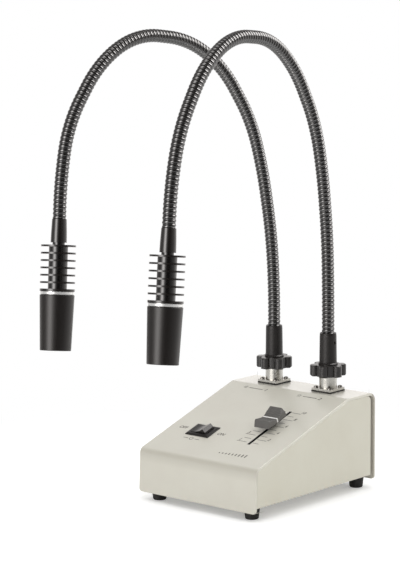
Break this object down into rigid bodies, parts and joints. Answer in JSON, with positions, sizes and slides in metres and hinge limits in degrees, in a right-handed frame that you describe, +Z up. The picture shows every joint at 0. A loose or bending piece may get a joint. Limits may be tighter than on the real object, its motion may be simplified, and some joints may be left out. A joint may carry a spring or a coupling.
{
  "type": "dual gooseneck illuminator",
  "caption": "Bench lamp box with an on/off rocker, an intensity fader and a pair of flexible gooseneck arms ending in finned LED heads",
  "frame": {"origin": "on the table under the middle of the object's plan box, which takes in the control box and both lamp heads", "axes": "+X to the right of someone facing the control panel, +Y from the front face to the rear face, +Z up"},
  "size_m": [0.1216, 0.2466, 0.3335],
  "materials": {
    "paint": "satin powder coat, warm light grey",
    "paint_tray": "satin powder coat, warm light grey",
    "foot_rubber": "matt black rubber",
    "zinc_steel": "bright zinc plate",
    "bright_plate": "bright nickel plate",
    "switch_plastic": "fine-grained black",
    "rocker_plastic": "glossy black",
    "brass": "plain",
    "cap_plastic": "grey with a white line",
    "circuit_board": "green solder mask",
    "part_black": "black mouldings",
    "gasket_rubber": "matt black",
    "knob_plastic": "semi-gloss black",
    "black_anodised": "satin black anodised",
    "neck_steel": "glossy black plated wire",
    "bright_ring": "turned and polished",
    "led_white": "white aluminium-core board with a pale LED dome",
    "lens_glass": "clear"
  },
  "bodies": {
    "box": {"top_cover": "paint", "base_tray": "paint_tray", "feet": "foot_rubber", "foot_screws": "zinc_steel", "foot_nuts": "zinc_steel", "rear_screws": "zinc_steel", "switch_housing": "switch_plastic", "switch_terminals": "brass", "fader_body": "zinc_steel", "fader_nuts": "zinc_steel", "driver_board": "circuit_board", "board_parts": "part_black", "board_spacers": "brass", "board_screws": "zinc_steel", "power_inlet": "part_black", "inlet_nut": "zinc_steel", "socket_gaskets": "gasket_rubber", "socket_a": "bright_plate", "socket_b": "bright_plate", "socket_screws": "bright_plate", "contact_insert_a": "part_black", "contact_insert_b": "part_black"},
    "rocker": {"switch_rocker": "rocker_plastic"},
    "fader": {"fader_lever": "zinc_steel", "fader_cap": "cap_plastic"},
    "knob_a": {"coupling_knob_a": "knob_plastic"},
    "arm_a_base": {"arm_plug_a": "bright_plate", "base_sleeve_a": "black_anodised", "set_screw_a": "zinc_steel", "neck_a_1": "neck_steel"},
    "arm_a_stretch_2": {"neck_a_2": "neck_steel"},
    "arm_a_stretch_3": {"neck_a_3": "neck_steel"},
    "arm_a_stretch_4": {"neck_a_4": "neck_steel"},
    "arm_a_stretch_5": {"neck_a_5": "neck_steel"},
    "head_a": {"head_sleeve_a": "black_anodised", "heat_sink_a": "black_anodised", "trim_ring_a": "bright_ring", "led_board_a": "led_white", "hood_a": "black_anodised", "lens_a": "lens_glass", "lens_clip_a": "black_anodised"},
    "knob_b": {"coupling_knob_b": "knob_plastic"},
    "arm_b_base": {"arm_plug_b": "bright_plate", "base_sleeve_b": "black_anodised", "set_screw_b": "zinc_steel", "neck_b_1": "neck_steel"},
    "arm_b_stretch_2": {"neck_b_2": "neck_steel"},
    "arm_b_stretch_3": {"neck_b_3": "neck_steel"},
    "arm_b_stretch_4": {"neck_b_4": "neck_steel"},
    "arm_b_stretch_5": {"neck_b_5": "neck_steel"},
    "head_b": {"head_sleeve_b": "black_anodised", "heat_sink_b": "black_anodised", "trim_ring_b": "bright_ring", "led_board_b": "led_white", "hood_b": "black_anodised", "lens_b": "lens_glass", "lens_clip_b": "black_anodised"}
  },
  "joints": [
    {"name": "rocker_tip", "type": "hinge", "parent": "box", "child": "rocker", "pos_m": [-0.03047, 0.02201, 0.04633], "axis": [0, 0.9501, 0.312], "range_deg": [0, 30]},
    {"name": "fader_slide", "type": "slide", "parent": "box", "child": "fader", "axis": [0, 0.9501, 0.312], "range_m": [-0.025, 0.02]},
    {"name": "knob_a_turn", "type": "hinge", "parent": "box", "child": "knob_a", "pos_m": [-0.03227, 0.10361, 0.085], "axis": [0, 0, 1], "range_deg": [0, 90]},
    {"name": "arm_a_swivel", "type": "hinge", "parent": "box", "child": "arm_a_base", "pos_m": [-0.03227, 0.10361, 0.09], "axis": [0, 0, 1], "range_deg": [-160, 15]},
    {"name": "neck_a_bend_1", "type": "hinge", "parent": "arm_a_base", "child": "arm_a_stretch_2", "pos_m": [-0.033, 0.09668, 0.20378], "axis": [0.9945, -0.1045, 0], "range_deg": [-40, 20]},
    {"name": "neck_a_bend_2", "type": "hinge", "parent": "arm_a_stretch_2", "child": "arm_a_stretch_3", "pos_m": [-0.03603, 0.06788, 0.28304], "axis": [0.9945, -0.1045, 0], "range_deg": [-40, 20]},
    {"name": "neck_a_bend_3", "type": "hinge", "parent": "arm_a_stretch_3", "child": "arm_a_stretch_4", "pos_m": [-0.04329, -0.00124, 0.32692], "axis": [0.9945, -0.1045, 0], "range_deg": [-45, 20]},
    {"name": "neck_a_bend_4", "type": "hinge", "parent": "arm_a_stretch_4", "child": "arm_a_stretch_5", "pos_m": [-0.05087, -0.07333, 0.2926], "axis": [0.9945, -0.1045, 0], "range_deg": [-35, 30]},
    {"name": "head_a_tilt", "type": "hinge", "parent": "arm_a_stretch_5", "child": "head_a", "pos_m": [-0.04963, -0.09979, 0.21277], "axis": [0.0875, 0.9863, -0.1395], "range_deg": [-35, 35]},
    {"name": "knob_b_turn", "type": "hinge", "parent": "box", "child": "knob_b", "pos_m": [0.01773, 0.10361, 0.085], "axis": [0, 0, 1], "range_deg": [0, 90]},
    {"name": "arm_b_swivel", "type": "hinge", "parent": "box", "child": "arm_b_base", "pos_m": [0.01773, 0.10361, 0.09], "axis": [0, 0, 1], "range_deg": [-15, 160]},
    {"name": "neck_b_bend_1", "type": "hinge", "parent": "arm_b_base", "child": "arm_b_stretch_2", "pos_m": [0.01828, 0.09924, 0.204], "axis": [0.9921, 0.1253, 0], "range_deg": [-40, 20]},
    {"name": "neck_b_bend_2", "type": "hinge", "parent": "arm_b_stretch_2", "child": "arm_b_stretch_3", "pos_m": [0.02159, 0.07302, 0.28404], "axis": [0.9921, 0.1253, 0], "range_deg": [-40, 20]},
    {"name": "neck_b_bend_3", "type": "hinge", "parent": "arm_b_stretch_3", "child": "arm_b_stretch_4", "pos_m": [0.03018, 0.00502, 0.32862], "axis": [0.9921, 0.1253, 0], "range_deg": [-45, 20]},
    {"name": "neck_b_bend_4", "type": "hinge", "parent": "arm_b_stretch_4", "child": "arm_b_stretch_5", "pos_m": [0.03925, -0.06674, 0.29293], "axis": [0.9921, 0.1253, 0], "range_deg": [-35, 30]},
    {"name": "head_b_tilt", "type": "hinge", "parent": "arm_b_stretch_5", "child": "head_b", "pos_m": [0.04478, -0.096, 0.21415], "axis": [-0.1322, 0.9785, -0.1583], "range_deg": [-35, 35]}
  ]
}
